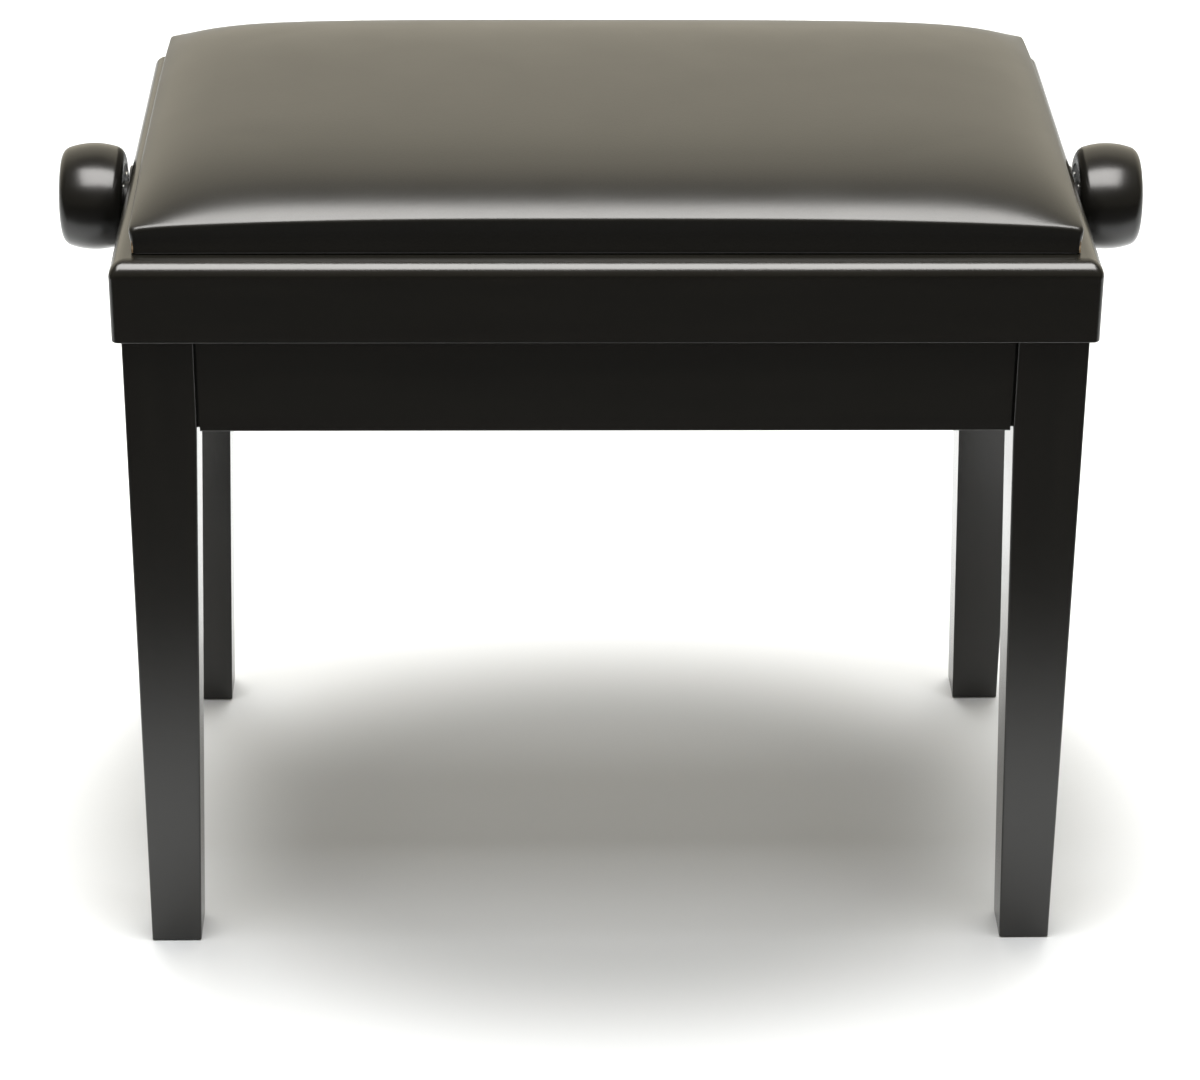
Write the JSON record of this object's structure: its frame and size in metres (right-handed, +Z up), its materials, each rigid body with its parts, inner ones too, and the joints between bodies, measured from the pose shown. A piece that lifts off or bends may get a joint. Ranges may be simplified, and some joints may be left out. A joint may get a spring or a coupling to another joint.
{
  "type": "adjustable piano bench",
  "caption": "Height-adjustable piano bench: padded seat in a rounded frame on tapered legs, raised by a knob-driven screw spindle and steel scissor.",
  "frame": {"origin": "on the floor, under the middle of the bench, with the seat at its lowest", "axes": "+X along the bench to the right as seen from the front, +Y to the back, +Z up"},
  "size_m": [0.638, 0.33, 0.487],
  "materials": {
    "black_lacquer": "black satin lacquer over close-grained wood",
    "beech": "planed, unfinished",
    "plywood": "sanded, unfinished",
    "leatherette": "smooth black leatherette, satin",
    "foam": "open-cell foam",
    "felt": "pressed felt",
    "knob_black": "turned wood, black satin lacquer",
    "black_steel": "black powder coat",
    "zinc_steel": "zinc plated",
    "spindle_steel": "rolled thread, lightly oiled",
    "brass": "machined",
    "nylon": "natural nylon"
  },
  "bodies": {
    "base": {"apron_front": "black_lacquer", "apron_left": "black_lacquer", "apron_rear": "black_lacquer", "apron_right": "black_lacquer", "brace_screws": "zinc_steel", "corner_brace_front_left": "beech", "corner_brace_front_right": "beech", "corner_brace_rear_left": "beech", "corner_brace_rear_right": "beech", "foot_glides": "felt", "hanger_bolts": "zinc_steel", "hanger_nuts": "zinc_steel", "hanger_washers": "zinc_steel", "leg_front_left": "black_lacquer", "leg_front_right": "black_lacquer", "leg_rear_left": "black_lacquer", "leg_rear_right": "black_lacquer", "lower_fixed_axle": "zinc_steel", "lower_rail_front": "black_steel", "lower_rail_rear": "black_steel", "lower_rail_screws": "zinc_steel"},
    "seat": {"board_screws": "zinc_steel", "cover_staples": "zinc_steel", "escutcheon_left": "black_steel", "escutcheon_right": "black_steel", "frame_glue_blocks": "beech", "frame_rail_front": "black_lacquer", "frame_rail_left": "black_lacquer", "frame_rail_rear": "black_lacquer", "frame_rail_right": "black_lacquer", "pivot_rivets": "zinc_steel", "pivot_spacers": "zinc_steel", "seat_board": "plywood", "seat_cover": "leatherette", "seat_foam": "foam", "spindle_bushes": "brass", "spindle_tie_left": "black_steel", "spindle_tie_right": "black_steel", "tie_rivets": "zinc_steel", "upper_rail_front": "black_steel", "upper_rail_rear": "black_steel", "upper_rail_screws": "zinc_steel"},
    "outer_arms": {"outer_arm_front": "black_steel", "outer_arm_rear": "black_steel", "centre_axle": "zinc_steel"},
    "trunnion": {"trunnion_bar": "black_steel", "spindle_nut": "brass", "upper_rollers": "nylon", "upper_roller_clips": "zinc_steel"},
    "inner_arms": {"inner_arm_front": "black_steel", "inner_arm_rear": "black_steel", "lower_slide_axle": "zinc_steel", "lower_rollers": "nylon", "lower_roller_clips": "zinc_steel"},
    "spindle": {"spindle_rod": "spindle_steel", "thrust_collars": "zinc_steel", "knob_left": "knob_black", "knob_right": "knob_black", "knob_flanges": "black_steel", "knob_screws": "zinc_steel"}
  },
  "joints": [
    {"name": "seat_lift", "type": "slide", "parent": "base", "child": "seat", "axis": [0, 0, 1], "range_m": [0, 0.09]},
    {"name": "spindle_spin", "type": "hinge", "parent": "seat", "child": "spindle", "pos_m": [0, 0, 0.417], "axis": [1, 0, 0], "range_deg": [0, 3047]},
    {"name": "outer_arm_swing", "type": "hinge", "parent": "base", "child": "outer_arms", "pos_m": [0.173, 0, 0.367], "axis": [0, 1, 0], "range_deg": [0, 15.27]},
    {"name": "trunnion_level", "type": "hinge", "parent": "outer_arms", "child": "trunnion", "pos_m": [-0.17341, 0, 0.417], "axis": [0, -1, 0], "range_deg": [0, 15.27]},
    {"name": "inner_arm_swing", "type": "hinge", "parent": "seat", "child": "inner_arms", "pos_m": [0.173, 0, 0.417], "axis": [0, -1, 0], "range_deg": [0, 15.27]}
  ],
  "couplings": [
    {"joint": "spindle_spin", "follows": "seat_lift", "rad_per_m": 590.73},
    {"joint": "outer_arm_swing", "follows": "seat_lift", "rad_per_m": 2.9602},
    {"joint": "trunnion_level", "follows": "seat_lift", "rad_per_m": 2.9602},
    {"joint": "inner_arm_swing", "follows": "seat_lift", "rad_per_m": 2.9602}
  ]
}
